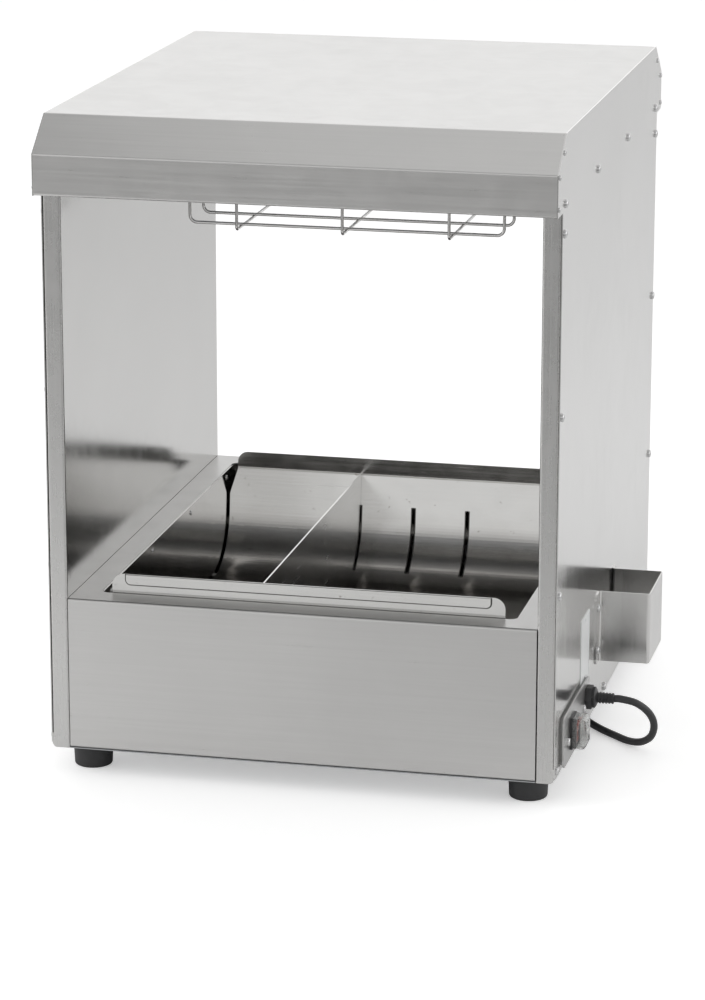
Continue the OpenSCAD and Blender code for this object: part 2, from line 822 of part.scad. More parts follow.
module pan_divider() {
    tab_y = pan_y - 6;
    color("silver") translate([0, pan_mid, 0])
    along_x(first_slot - divider_t / 2, first_slot + divider_t / 2) {
        intersection() {
            polygon(bent_line(pan_line, pan_radii, sheet_t + seat_gap));
            translate([-pan_y, pan_z]) square([2 * pan_y, rim_z - 0.5 - pan_z]);
        }
        translate([-tab_y, tab_low]) square([2 * tab_y, tab_h]);
    }
}

module heating_element() {
    r = element_d / 2;
    p = element_pitch / 2;
    color("dimgray") translate([0, 0, element_z]) {
        for (y = [element_rows[1], element_rows[2]]) translate([-element_run, y, 0])
            rotate([0, 90, 0]) cylinder(h = 2 * element_run, r = r);
        for (y = [element_rows[0], element_rows[3]]) {
            translate([-element_run, y, 0]) rotate([0, 90, 0])
                cylinder(h = element_run + open_x + 6, r = r);
            translate([open_x - 9, y, 0]) rotate([0, 90, 0]) cylinder(h = 12, r = sleeve_r);
            translate([open_x + 3, y, 0]) rotate([0, 90, 0]) cylinder(h = 8, r = 1.5);
        }
        for (y = [-2 * p, 2 * p]) translate([-element_run, y, 0]) rotate([0, 0, 90])
            rotate_extrude(angle = 180) translate([p, 0]) circle(r);
        translate([element_run, 0, 0]) rotate([0, 0, -90])
            rotate_extrude(angle = 180) translate([p, 0]) circle(r);
    }
}

module element_supports() {
    t = 1.5;
    z = well_z + sheet_t;
    half = 1.5 * element_pitch + support_over;
    color("silver") for (x = [-support_x, support_x]) difference() {
        along_y(-half, half) folded_section([[x, element_z + element_d / 2 + 3],
            [x, z], [x + support_over * 0.85, z]], t, [3]);
        for (y = element_rows) translate([x - 5, y, element_z]) rotate([0, 90, 0])
            cylinder(h = 10, r = element_d / 2 + hole_gap);
    }
}

module thermal_cutout() {
    color("black") translate([open_x, 150, well_z + 45]) {
        rotate([0, 90, 0]) cylinder(h = 3, r = 9);
        translate([3, 0, 0]) rotate([0, 90, 0]) cylinder(h = 9, r = 7.5);
        for (s = [-1, 1]) translate([11, s * 3.5 - 0.4, -3]) cube([7, 0.8, 6]);
    }
}

module terminal_block() {
    w = 17;
    x = (open_x + shell_x - w) / 2;
    color("beige") translate([x, -54, floor_top]) difference() {
        union() {
            cube([w, 64, 10]);
            for (i = [0 : 2]) translate([0, 4 + i * 20, 9]) cube([w, 16, 11]);
        }
        for (i = [0 : 2]) {
            translate([-1, 12 + i * 20, 12.5]) rotate([0, 90, 0]) cylinder(h = w + 2, r = 2);
            for (u = [4.5, w - 4.5]) translate([u, 12 + i * 20, 13]) cylinder(h = 8, r = 2);
        }
    }
}

// Rounded outline of the control plate, drawn to the given inset
module plate_outline(inset) {
    translate([plate_y0 + plate_d / 2, plate_z])
        round_rect(plate_d - 2 * inset, plate_h - 2 * inset, 8 - inset);
}

module control_plate() {
    color("silver") difference() {
        along_x(plate_x - plate_t, plate_x) difference() {
            plate_outline(0);
            control_opening(0.4);
        }
        side_holes(plate_x, plate_spots, screw_d);
    }
}

module control_gasket() {
    color("black") difference() {
        along_x(half_w, half_w + gasket_t) difference() {
            plate_outline(2.5);
            control_opening(3);
        }
        side_holes(half_w + 1, plate_spots, screw_d);
    }
}

module control_screws() {
    color("silver") on_side(plate_x, plate_spots)
        pan_screw(screw_d, 12, screw_head_d, screw_head_h);
}

module switch_body() {
    slot_h = 2 * norm([rocker_h / 2, rocker_reach]) + 0.8;
    slot_y = rocker_w + 0.8;
    color("black") translate([0, switch_y, plate_z]) difference() {
        union() {
            along_x(plate_x, plate_x + bezel_t) round_rect(bezel_w, bezel_h, 2);
            along_x(plate_x - 24, plate_x) square([bezel_w - 3, bezel_h - 3], center = true);
            for (y = [-6, 6], z = [-8, 8]) translate([plate_x - 31, y - 3, z - 0.4])
                cube([8, 6, 0.8]);
        }
        along_x(plate_x - 8, plate_x + bezel_t + 1) square([slot_y, slot_h], center = true);
        translate([pivot_x, -bezel_w / 2 + 1, 0]) rotate([-90, 0, 0])
            cylinder(h = bezel_w - 2, r = pivot_r + pivot_gap);
    }
}

module switch_rocker() {
    h = rocker_h / 2;
    color("red") translate([pivot_x, switch_y, plate_z]) rotate([0, rocker_tilt, 0]) {
        along_y(-rocker_w / 2, rocker_w / 2) {
            polygon([[-1, -h], [rocker_reach, -h], [rocker_reach - 2.4, 0], [rocker_reach, h],
                [-1, h]]);
            circle(4);
        }
        translate([0, -bezel_w / 2 + 1.5, 0]) rotate([-90, 0, 0])
            cylinder(h = bezel_w - 3, r = pivot_r);
    }
}

// Clear splash cover: a box with a vaulted front, blown over the switch
module cover_shell(w, h, out, r) {
    intersection() {
        along_x(0, out + 1) round_rect(w, h, r / 2);
        along_y(-w, w) {
            translate([-1, -h / 2]) square([out - r + 1, h]);
            translate([0, r - h / 2]) square([out, h - 2 * r]);
            for (s = [-1, 1]) translate([out - r, s * (h / 2 - r)]) circle(r);
        }
        translate([0, 0, -h]) linear_extrude(2 * h) {
            translate([-1, -w / 2]) square([out - r + 1, w]);
            translate([0, r - w / 2]) square([out, w - 2 * r]);
            for (s = [-1, 1]) translate([out - r, s * (w / 2 - r)]) circle(r);
        }
    }
}

module switch_cover() {
    out = 13.5;
    color("white", 0.4) translate([plate_x + bezel_t, switch_y, plate_z]) difference() {
        cover_shell(bezel_w - 1, bezel_h - 1, out, 7);
        translate([-0.6, 0, 0]) cover_shell(bezel_w - 2.6, bezel_h - 2.6, out - 0.2, 6.2);
    }
}

gland_hex = 6;
gland_dome = 4;
gland_reach = plate_x + gland_hex + gland_dome + relief_l - 4;

module cable_gland() {
    r = gland_flats / 2;
    color("black") translate([plate_x, gland_y, gland_z]) rotate([0, 90, 0]) {
        cylinder(h = gland_hex, r = r / cos(30), $fn = 6);
        translate([0, 0, gland_hex]) cylinder(h = gland_dome, r1 = r - 0.5, r2 = r - 3.5);
        translate([0, 0, gland_hex + gland_dome - 0.5])
            cylinder(h = relief_l - 3.5, r1 = cord_d / 2 + 2, r2 = cord_d / 2 + 0.8);
        translate([0, 0, -16]) cylinder(h = 16, r = r - 1);
    }
}

module gland_locknut() {
    color("black") translate([skin_in - 5, gland_y, gland_z]) rotate([0, 90, 0]) difference() {
        cylinder(h = 5, r = gland_flats / 2 + 3.5, $fn = 6);
        translate([0, 0, -1]) cylinder(h = 7, r = gland_flats / 2 - 1 + hole_gap);
    }
}

module scoop_holder() {
    x = half_w;
    y0 = holder_y[0];
    y1 = holder_y[1];
    out = x + holder_out;
    color("silver") difference() {
        intersection() {
            translate([0, 0, holder_z]) linear_extrude(holder_h)
                folded_section([[x + holder_t, y0 - 3 - holder_flange], [x + holder_t, y0],
                    [out, y0], [out, y1], [x + holder_t, y1],
                    [x + holder_t, y1 + 3 + holder_flange]], holder_t,
                    [3 - holder_t, 3, 3, 3 - holder_t]);
            along_x(x - 1, out + 1) translate([(y0 + y1) / 2, holder_z + holder_h / 2])
                round_rect(y1 - y0 + 2 * holder_flange + 6, holder_h, 6);
        }
        side_holes(x + holder_t / 2, holder_spots, screw_d);
    }
}

module holder_screws() {
    color("silver") on_side(half_w + holder_t, holder_spots)
        pan_screw(screw_d, 8, screw_head_d, screw_head_h);
}

// Mains cord. It leaves the gland, drops to the table, passes under the base and
// ends in a stored coil close behind the body, with the plug beside the coil.
cord_z = cord_d / 2 + 0.2;
cord_gap = 0.6;
coil_mid = [99, 345];
route = [
    [277, -124, 62], [291, -121, 58], [302, -114, 47], [306, -106, 33], [302, -97, 18],
    [291, -86, 8], [277, -74, 4], [261, -60, 4], [244, -43, 4], [228, -22, 4], [214, 4, 4],
    [202, 34, 4], [191, 70, 4], [180, 112, 4], [170, 160, 4], [161, 212, 4], [154, 262, 4],
    [150, 306, 4], [150, 330, 4]
];
coil_pitch = cord_d + cord_gap;
coil_out_r = coil_r + coil_pitch;
coil_in_r = coil_r - coil_pitch;
coil_start = [coil_mid[0] + coil_out_r, coil_mid[1] - cord_d - 1, cord_z];
in_turns = 720;
climb = 180;
coil_end = 1530;
tail_l = 46;
plug_r = 18.5;
plug_z = plug_r + 0.3;

function smooth(t) = t * t * (3 - 2 * t);

function coil_radius(a) =
    a < in_turns ? coil_out_r - coil_pitch * a / 360
    : a < in_turns + climb ? coil_in_r - 2 * sin(180 * (a - in_turns) / climb)
    : coil_in_r + coil_pitch * (a - in_turns - climb) / 360;

function coil_height(a) =
    cord_z + coil_pitch * smooth(min(1, max(0, (a - in_turns) / climb)));

function coil_point(a) = [
    coil_mid[0] + coil_radius(a) * cos(a),
    coil_mid[1] + coil_radius(a) * sin(a),
    coil_height(a)
];

function tail_point(s) =
    coil_point(coil_end) + [-s, 0, 0]
    + [0, 0, (plug_z - coil_height(coil_end)) * smooth(min(1, s / (tail_l - 10)))];

coil_points = concat(
    [coil_start, coil_start + [0, cord_d, 0]],
    [for (a = [15 : 15 : coil_end]) coil_point(a)],
    [for (s = [10, 20, 28, 36, tail_l]) tail_point(s)]);

// A smooth curve through the route points
function spline(p, i, t) =
    let (
        n = len(p) - 1,
        p0 = i == 0 ? 2 * p[0] - p[1] : p[i - 1],
        p3 = i + 2 > n ? 2 * p[n] - p[n - 1] : p[i + 2],
        p1 = p[i],
        p2 = p[i + 1]
    )
    0.5 * (2 * p1 + (p2 - p0) * t + (2 * p0 - 5 * p1 + 4 * p2 - p3) * t * t
        + (3 * p1 - p0 - 3 * p2 + p3) * t * t * t);

route_points = concat([[gland_reach, gland_y, gland_z]], route, [coil_start]);
cord_points = concat(
    [for (i = [0 : len(route_points) - 2], t = i > 6 ? [0, 0.5] : [0]) spline(route_points, i, t)],
    [coil_start]);

function path_length(p) = len(p) < 2 ? 0
    : [for (i = 1, l = norm(p[1] - p[0]); i < len(p);
        i = i + 1, l = i < len(p) ? l + norm(p[i] - p[i - 1]) : l) l][len(p) - 2];

// Least distance between the outsides of turns that are a third of a turn or more apart
coil_gap = min([for (i = [0 : len(coil_points) - 9], j = [i + 8 : len(coil_points) - 1])
    norm(coil_points[i] - coil_points[j])]) - cord_d;

module tube(p, r, sides) {
    n = len(p);
    ahead = [for (i = [0 : n - 1]) unit(p[min(i + 1, n - 1)] - p[max(i - 1, 0)])];
    first = unit(cross(ahead[0], [0, 0, 1]));
    across = [for (i = 0, s = first; i < n;
        s = i + 1 < n ? unit(s - (s * ahead[i + 1]) * ahead[i + 1]) : s, i = i + 1) s];
    points = [for (i = [0 : n - 1], k = [0 : sides - 1])
        let (a = 360 * k / sides, up = cross(across[i], ahead[i]))
        p[i] + r * (cos(a) * across[i] + sin(a) * up)];
    walls = [for (i = [0 : n - 2], k = [0 : sides - 1])
        let (a = i * sides + k, b = i * sides + (k + 1) % sides)
        each [[a, b, b + sides], [a, b + sides, a + sides]]];
    caps = [for (k = [1 : sides - 2])
        each [[0, k + 1, k], [(n - 1) * sides, (n - 1) * sides + k, (n - 1) * sides + k + 1]]];
    polyhedron(points, concat(walls, caps));
}

module power_cord() {
    color("black") tube(cord_points, cord_d / 2, 10);
}

module cord_coil() {
    color("black") tube(coil_points, cord_d / 2, 6);
}

module mains_plug() {
    color("black") translate(tail_point(tail_l)) rotate([0, -90, 0]) {
        rotate_extrude() polygon([[0, 0], [cord_d / 2 + 0.9, 0], [cord_d / 2 + 2.6, 22], [12, 26],
            [14, 42], [plug_r - 1.5, 46], [plug_r, 48], [plug_r, 58], [plug_r - 1, 59], [0, 59]]);
        for (s = [-1, 1]) translate([0, s * 9.5, 58]) {
            cylinder(h = 18, r = 2.4);
            translate([0, 0, 18]) cylinder(h = 2, r1 = 2.4, r2 = 1.4);
        }
    }
}

echo(cord_length = path_length(cord_points) + path_length(coil_points), coil_gap = coil_gap);

placed() hood_cover();
placed() hood_ceiling();
placed() hood_end_screws();
placed() lamp_reflector();
placed() quartz_lamp_front();
placed() quartz_lamp_rear();
placed() lamp_end_caps();
placed() lamp_brackets();
placed() wire_guard();
placed() side_skin_left();
placed() side_skin_right();
placed() side_frame_left();
placed() side_frame_right();
placed() side_screws_left();
placed() side_screws_right();
placed() base_shell();
placed() base_floor();
placed() floor_screws();
placed() feet();
placed() foot_screws();
placed() well_liner();
placed() well_screws();
placed() pan_rails();
placed() chip_pan();
placed() pan_divider();
placed() heating_element();
placed() element_supports();
placed() thermal_cutout();
placed() terminal_block();
placed() control_plate();
placed() control_gasket();
placed() control_screws();
placed() switch_body();
placed() switch_rocker();
placed() switch_cover();
placed() cable_gland();
placed() gland_locknut();
placed() scoop_holder();
placed() holder_screws();
placed() power_cord();
placed() cord_coil();
placed() mains_plug();
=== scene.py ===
import math

import bpy
from mathutils import Matrix, Vector


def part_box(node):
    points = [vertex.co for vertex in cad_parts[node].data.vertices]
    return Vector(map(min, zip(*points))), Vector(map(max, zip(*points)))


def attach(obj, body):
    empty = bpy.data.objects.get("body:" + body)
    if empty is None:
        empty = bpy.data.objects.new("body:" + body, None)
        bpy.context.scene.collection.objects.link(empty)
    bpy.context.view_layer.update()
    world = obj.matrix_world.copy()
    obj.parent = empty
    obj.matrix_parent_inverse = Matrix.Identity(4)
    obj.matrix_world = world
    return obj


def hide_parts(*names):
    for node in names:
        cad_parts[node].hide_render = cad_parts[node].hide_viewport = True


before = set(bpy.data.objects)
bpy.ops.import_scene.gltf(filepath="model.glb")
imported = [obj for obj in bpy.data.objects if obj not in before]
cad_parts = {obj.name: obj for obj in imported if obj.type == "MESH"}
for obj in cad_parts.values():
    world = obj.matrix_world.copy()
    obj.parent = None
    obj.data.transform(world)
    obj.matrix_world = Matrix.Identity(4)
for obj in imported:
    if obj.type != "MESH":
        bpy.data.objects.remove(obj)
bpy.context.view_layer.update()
bpy.ops.object.select_all(action="DESELECT")

MM = 0.001
# The model is centred on its whole reach, so the middle of the body lies left of x = 0
BODY_X = -23.8
FLOOR_Z = 0.0
CORD_D = 7.2
Z = Vector((0, 0, 1))
# Outer faces of the right skin and of the plate and bezel that stand on it
SKIN_X, PLATE_X, BEZEL_X = 240, 243.5, 246
# Middles of the switch and the cable gland, as (y, z)
SWITCH = (-204, 54.5)
GLAND = (-124, 62)


def at(x, y, z):
    """A place given in millimetres from the middle of the body, in the scene's metres."""
    return Vector(((x + BODY_X) * MM, y * MM, z * MM))


# Camera


def add_camera(place, yaw, pitch, roll, focal_px):
    bpy.ops.object.camera_add(location=place)
    camera = bpy.context.object
    turned = Matrix.Rotation(math.radians(yaw), 3, "Z") @ Matrix.Rotation(
        math.radians(90 - pitch), 3, "X"
    ) @ Matrix.Rotation(math.radians(roll), 3, "Z")
    camera.rotation_euler = turned.to_euler()
    camera.data.sensor_fit = "AUTO"
    camera.data.sensor_width = 36
    camera.data.lens = focal_px * 36 / 1000
    camera.data.clip_start = 0.05
    camera.data.clip_end = 60
    bpy.context.scene.camera = camera


add_camera(place=at(817.3, -3630.0, 1215.1), yaw=12.88, pitch=15.15, roll=0.05, focal_px=3925)


# Node helpers for materials


class Nodes:
    """A material's node tree, with short calls for what the finishes share."""

    def __init__(self, name):
        self.material = bpy.data.materials.new(name)
        self.material.use_nodes = True
        self.tree = self.material.node_tree
        self.shader = self.tree.nodes["Principled BSDF"]
        self.coords = self.add("ShaderNodeTexCoord").outputs["Object"]

    def add(self, kind):
        return self.tree.nodes.new(kind)

    def link(self, source, target):
        self.tree.links.new(source, target)

    def set(self, **values):
        for key, value in values.items():
            self.shader.inputs[key.replace("_", " ")].default_value = value

    def mapped(self, scale, turn=(0, 0, 0), move=(0, 0, 0)):
        node = self.add("ShaderNodeMapping")
        node.inputs["Scale"].default_value = scale
        node.inputs["Rotation"].default_value = turn
        node.inputs["Location"].default_value = move
        self.link(self.coords, node.inputs["Vector"])
        return node.outputs["Vector"]

    def noise(self, scale, detail=3, rough=0.5, distortion=0.0, move=(0, 0, 0)):
        node = self.add("ShaderNodeTexNoise")
        node.inputs["Scale"].default_value = 1.0
        node.inputs["Detail"].default_value = detail
        node.inputs["Roughness"].default_value = rough
        node.inputs["Distortion"].default_value = distortion
        self.link(self.mapped(scale, move=move), node.inputs["Vector"])
        return node.outputs["Fac"]

    def ramp(self, value, stops):
        """Grey or coloured ramp of (place, colour or grey) stops."""
        node = self.add("ShaderNodeValToRGB")
        ramp = node.color_ramp
        while len(ramp.elements) < len(stops):
            ramp.elements.new(0.5)
        for element, (place, colour) in zip(ramp.elements, stops):
            element.position = place
            if isinstance(colour, (int, float)):
                colour = (colour, colour, colour)
            element.color = (*colour, 1)
        self.link(value, node.inputs["Fac"])
        return node.outputs["Color"]

    def mix(self, factor, a, b, blend="MIX"):
        node = self.add("ShaderNodeMix")
        node.data_type = "RGBA"
        node.blend_type = blend
        for socket, value in ((node.inputs[0], factor), (node.inputs[6], a), (node.inputs[7], b)):
            if isinstance(value, (int, float)):
                socket.default_value = value if socket.type == "VALUE" else (value, value, value, 1)
            elif isinstance(value, tuple):
                socket.default_value = (*value, 1)
            else:
                self.link(value, socket)
        return node.outputs[2]

    def math(self, operation, a, b):
        node = self.add("ShaderNodeMath")
        node.operation = operation
        for socket, value in zip(node.inputs, (a, b)):
            if isinstance(value, (int, float)):
                socket.default_value = value
            else:
                self.link(value, socket)
        return node.outputs[0]

    def range(self, value, low, high, out_low, out_high):
        node = self.add("ShaderNodeMapRange")
        for key, number in (("From Min", low), ("From Max", high), ("To Min", out_low),
                            ("To Max", out_high)):
            node.inputs[key].default_value = number
        self.link(value, node.inputs["Value"])
        return node.outputs["Result"]

    def axis(self, name):
        """One object coordinate, in metres."""
        node = self.add("ShaderNodeSeparateXYZ")
        self.link(self.coords, node.inputs[0])
        return node.outputs[name]

    def facing(self, name):
        """One where the surface looks along an axis, either way, and nought where it doesn't."""
        node = self.add("ShaderNodeSeparateXYZ")
        self.link(self.add("ShaderNodeNewGeometry").outputs["Normal"], node.inputs[0])
        return self.range(self.math("ABSOLUTE", node.outputs[name], 0), 0.8, 0.95, 0, 1)

    def blend(self, factor, a, b):
        node = self.add("ShaderNodeMix")
        for socket, value in ((node.inputs[0], factor), (node.inputs[2], a), (node.inputs[3], b)):
            if isinstance(value, (int, float)):
                socket.default_value = value
            else:
                self.link(value, socket)
        return node.outputs[0]

    def bump(self, height, strength, distance, under=None):
        node = self.add("ShaderNodeBump")
        node.inputs["Strength"].default_value = strength
        node.inputs["Distance"].default_value = distance
        self.link(height, node.inputs["Height"])
        if under:
            self.link(under, node.inputs["Normal"])
        return node.outputs["Normal"]

    def finish(self, color=None, roughness=None, normal=None):
        for key, source in (("Base Color", color), ("Roughness", roughness), ("Normal", normal)):
            if source is not None:
                self.link(source, self.shader.inputs[key])
        return self.material


GRAIN = {"X": (7, 420, 420), "Y": (420, 7, 420), "Z": (420, 420, 7)}


def sheet_metal(name, color, grain, low, high, streak=0.05, wave=0.0, stain_and_shade=None, scratches=0.3,
                web=None, lean=None):
    """Rolled or brushed sheet: grain along one axis, smudges, hair scratches and, if thin, waves.

    A web of (low, high) gives the faces that look left or right a smoother roughness, and a
    lean is a height field that tips the reflections of upright walls.
    """
    n = Nodes(name)
    n.set(Metallic=1.0)
    fine = n.noise(GRAIN[grain], detail=5, rough=0.65)
    broad = n.noise((5, 5, 5), detail=4, rough=0.55, distortion=0.4)
    smudge = n.noise((26, 26, 26), detail=5, rough=0.6, distortion=1.2)
    hair = n.noise(tuple(v * (0.35 if v < 10 else 2.4) for v in GRAIN[grain]), detail=2, rough=0.4,
                   move=(3.1, 1.7, 5.3))
    hair = n.ramp(hair, [(0.0, 0.0), (0.66, 0.0), (0.74, 1.0)])
    dark = tuple(c * (1 - streak) for c in color)
    light = tuple(min(1, c * (1 + streak)) for c in color)
    shade = n.mix(n.range(fine, 0.3, 0.7, 0, 1), dark, light)
    shade = n.mix(n.range(broad, 0.35, 0.65, 0, 0.35), shade, tuple(c * 0.9 for c in color))
    # Stains and oxide, and painted shade too: on the deck's flat faces and at the pan's slots and
    # hem edges
    if stain_and_shade:
        shade = stain_and_shade(n, shade)
    rough = n.range(fine, 0.3, 0.7, low, high)
    grip = 1.0
    if web:
        side = n.facing("X")
        rough = n.blend(side, rough, n.range(fine, 0.3, 0.7, *web))
        grip = n.math("SUBTRACT", 1.0, n.math("MULTIPLY", side, 0.8))
    rough = n.math("ADD", rough, n.range(smudge, 0.4, 0.75, 0, 0.05))
    rough = n.math("ADD", rough, n.math("MULTIPLY", hair, 0.05 * scratches / 0.3))
    normal = n.bump(n.math("MULTIPLY", fine, grip), 0.03, 0.0001)
    if wave:
        swell = n.noise((3.2, 3.2, 3.2), detail=1, rough=0.4)
        normal = n.bump(swell, 1.0, wave, under=normal)
    if lean:
        normal = n.bump(lean(n), 1.0, 1.0, under=normal)
    return n.finish(shade, rough, normal)


def moulded(name, color, rough, grain=900, speckle=0.08, coat=0.0):
    """Moulded plastic or rubber with a fine grain and dusty smudges."""
    n = Nodes(name)
    n.set(Metallic=0.0, Coat_Weight=coat)
    fine = n.noise((grain, grain, grain), detail=2)
    smudge = n.noise((40, 40, 40), detail=5, rough=0.6, distortion=0.8)
    light = tuple(min(1, c * (1 + speckle) + 0.012 * speckle * 10) for c in color)
    shade = n.mix(n.range(smudge, 0.35, 0.7, 0, 1), color, light)
    roughness = n.range(smudge, 0.3, 0.7, rough - 0.06, rough + 0.08)
    return n.finish(shade, roughness, n.bump(fine, 0.25, 0.00008))


def ceramic(name, color):
    n = Nodes(name)
    fine = n.noise((500, 500, 500), detail=4)
    shade = n.mix(n.range(n.noise((60, 60, 60), detail=4), 0.4, 0.7, 0, 1), color,
                  tuple(c * 0.86 for c in color))
    return n.finish(shade, n.range(fine, 0.3, 0.7, 0.55, 0.75), n.bump(fine, 0.3, 0.0001))


def clear(name, color, rough, ior, weight=1.0):
    n = Nodes(name)
    n.set(Transmission_Weight=weight, IOR=ior)
    smear = n.noise((90, 90, 90), detail=4, distortion=0.6)
    shade = n.mix(n.range(smear, 0.4, 0.7, 0, 1), color, tuple(c * 0.95 for c in color))
    return n.finish(shade, n.range(smear, 0.35, 0.7, rough, rough + 0.08),
                    n.bump(smear, 0.08, 0.0002))


def heat_tint_and_painted_shade(n, shade):
    """Heat tint low in the pan, specks, and painted shade at the divider slots and under the folded
    hem edges.
    """
    height = n.axis("Z")
    wobble = n.noise((22, 22, 9), detail=5, rough=0.6)
    level = n.math("ADD", height, n.math("MULTIPLY", wobble, 0.03))
    low = n.range(level, 0.085, 0.15, 0.55, 0.0)
    speck = n.ramp(n.noise((160, 160, 160), detail=3), [(0.0, 0.0), (0.68, 0.0), (0.78, 0.5)])
    shade = n.mix(low, shade, (0.33, 0.29, 0.25))
    shade = n.mix(speck, shade, (0.22, 0.19, 0.16))
    # Painted shade: near black beside the divider slots, and a dark line under each lip's folded
    # edge
    shade = n.mix(painted_slot_shade(n), shade, (0.03, 0.027, 0.024))
    return n.mix(painted_hem_shadow(n), shade, (0.05, 0.047, 0.042))


# Divider slots in the pan: middles across it, lowest and highest point, and half width of the
# painted shade round each slot
SLOT_X = (-55, 2, 59)
SLOT_Z = (80, 141)
SLOT_SHADE_HALF = 3.0


def painted_slot_shade(n):
    """Painted shade round each divider slot, darkening the wall beside it so its gap looks wider,
    on the front and back walls alone.
    """
    near = None
    for x in SLOT_X:
        gap = n.math("ABSOLUTE", n.math("SUBTRACT", n.axis("X"), (x + BODY_X) * MM), 0)
        near = n.math("MINIMUM", near, gap) if near else gap
    near = n.range(near, (SLOT_SHADE_HALF - 0.8) * MM, SLOT_SHADE_HALF * MM, 0.9, 0)
    for z, side in zip(SLOT_Z, (1, -1)):
        near = n.math("MULTIPLY", near, n.range(n.axis("Z"), (z - side * 0.5) * MM,
                                                (z + side * 0.5) * MM, 0, 1))
    return n.math("MULTIPLY", near, n.range(n.math("ABSOLUTE", n.axis("Y"), 0), 0.11, 0.12, 0, 1))


# Folded edge of the pan lips: half length, lower edge and corner radius, in metres
HEM_HALF, HEM_LOW, HEM_R = 0.174, 0.18, 0.005
# Depth in metres past which a face lies on the outside of the front and back lip
LIP_Y = (-0.2454, 0.2249)


def painted_hem_shadow(n):
    """Painted shadow line along the free edge of each folded lip, where the hem shades the lip,
    outside the pan only.
    """
    x = n.math("SUBTRACT", n.math("ABSOLUTE", n.math("SUBTRACT", n.axis("X"), BODY_X * MM), 0),
               HEM_HALF - HEM_R)
    z = n.math("SUBTRACT", HEM_LOW + HEM_R, n.axis("Z"))
    x, z = n.math("MAXIMUM", x, 0), n.math("MAXIMUM", z, 0)
    edge = n.math("SQRT", n.math("ADD", n.math("MULTIPLY", x, x), n.math("MULTIPLY", z, z)), 0)
    edge = n.math("ABSOLUTE", n.math("SUBTRACT", edge, HEM_R), 0)
    line = n.range(edge, 0.0004, 0.0009, 0.9, 0)
    outside = n.math("MAXIMUM", n.range(n.axis("Y"), LIP_Y[0], LIP_Y[0] + 0.0001, 1, 0),
                     n.range(n.axis("Y"), LIP_Y[1], LIP_Y[1] + 0.0001, 0, 1))
    return n.math("MULTIPLY", line, outside)


# How far reflections lean back on the pan's walls, as a slope, and the height of its rim in metres
WALL_SLOPE, RIM_Z = 0.15, 0.172


def lean_walls(n):
    """Height field that leans the pan's walls back, up to the rim, and its front lip."""
    front = n.range(n.axis("Y"), -0.2, 0, 1, 0)
    top = n.math("ADD", front, RIM_Z)
    return n.math("MULTIPLY", n.math("MINIMUM", n.axis("Z"), top), -WALL_SLOPE)


def painted_deck_shade(n, shade):
    """Painted shade: faces that look straight up or down, the deck round the well among them, are
    darkened by a quarter.
    """
    up = n.blend(n.facing("Z"), 1.0, 0.75)
    return n.mix(1.0, shade, up, "MULTIPLY")


def blued(n, shade):
    """Oxide on a heater sheath."""
    patch = n.noise((30, 30, 30), detail=4)
    return n.mix(n.range(patch, 0.4, 0.65, 0, 1), shade, (0.13, 0.115, 0.12))


STEEL = (0.64, 0.635, 0.625)
BRIGHT = (0.72, 0.715, 0.705)
FINISH = {
    "hood": sheet_metal("brushed_along_x", STEEL, "X", 0.27, 0.34, 0.03, wave=0.0003),
    "base": sheet_metal("brushed_base", STEEL, "X", 0.27, 0.34, 0.03, wave=0.0003,
                        stain_and_shade=painted_deck_shade),
    "post": sheet_metal("brushed_along_z", STEEL, "Z", 0.24, 0.28, 0.02, wave=0.0003,
                        web=(0.13, 0.17)),
    "skin": sheet_metal("polished_skin", BRIGHT, "Z", 0.13, 0.18, 0.015, wave=0.0008),
    "well": sheet_metal("polished_well", (0.68, 0.675, 0.665), "Y", 0.06, 0.1, 0.02, wave=0.0004),
    "pan": sheet_metal("pan_sheet", (0.73, 0.725, 0.71), "X", 0.16, 0.23, 0.03, wave=0.0005,
                       stain_and_shade=heat_tint_and_painted_shade, scratches=0.3, lean=lean_walls),
    "divider": sheet_metal("divider_sheet", BRIGHT, "Y", 0.2, 0.25, 0.02, wave=0.0001,
                           scratches=0.1),
    "holder": sheet_metal("holder_sheet", STEEL, "Z", 0.2, 0.24, 0.02, wave=0.0002,
                          scratches=0.1),
    "plate": sheet_metal("plate_sheet", (0.58, 0.575, 0.57), "Y", 0.28, 0.36, 0.03),
    "dull": sheet_metal("dull_sheet", (0.42, 0.43, 0.44), "X", 0.38, 0.5, 0.08),
    "screw": sheet_metal("screw_steel", (0.6, 0.6, 0.6), "Z", 0.16, 0.26, 0.03),
    "wire": sheet_metal("chromed_wire", (0.8, 0.79, 0.78), "X", 0.14, 0.2, 0.03),
    "reflector": sheet_metal("polished_aluminium", (0.8, 0.8, 0.79), "X", 0.1, 0.16, 0.02),
    "element": sheet_metal("element_sheath", (0.2, 0.19, 0.19), "Y", 0.4, 0.55, 0.1, stain_and_shade=blued),
    "label": moulded("blank_label", (0.66, 0.67, 0.67), 0.35, speckle=0.03),
    "filament": sheet_metal("filament_wire", (0.34, 0.32, 0.3), "X", 0.3, 0.4, 0.05),
    "rubber": moulded("foot_rubber", (0.022, 0.022, 0.023), 0.55),
    "gasket": moulded("sponge_gasket", (0.3, 0.3, 0.295), 0.6, grain=1600),
    "black": moulded("black_plastic", (0.02, 0.02, 0.021), 0.38),
    "cord": moulded("cord_sheath", (0.018, 0.018, 0.019), 0.42, grain=1400),
    "ivory": moulded("ivory_plastic", (0.78, 0.74, 0.62), 0.4),
    "rocker": moulded("red_rocker", (0.36, 0.03, 0.012), 0.25, coat=0.3),
    "ceramic": ceramic("white_ceramic", (0.82, 0.8, 0.75)),
    "quartz": clear("quartz_glass", (0.97, 0.97, 0.96), 0.02, 1.46),
    "cover": clear("clear_cover", (0.93, 0.94, 0.93), 0.08, 1.41, weight=0.93),
}

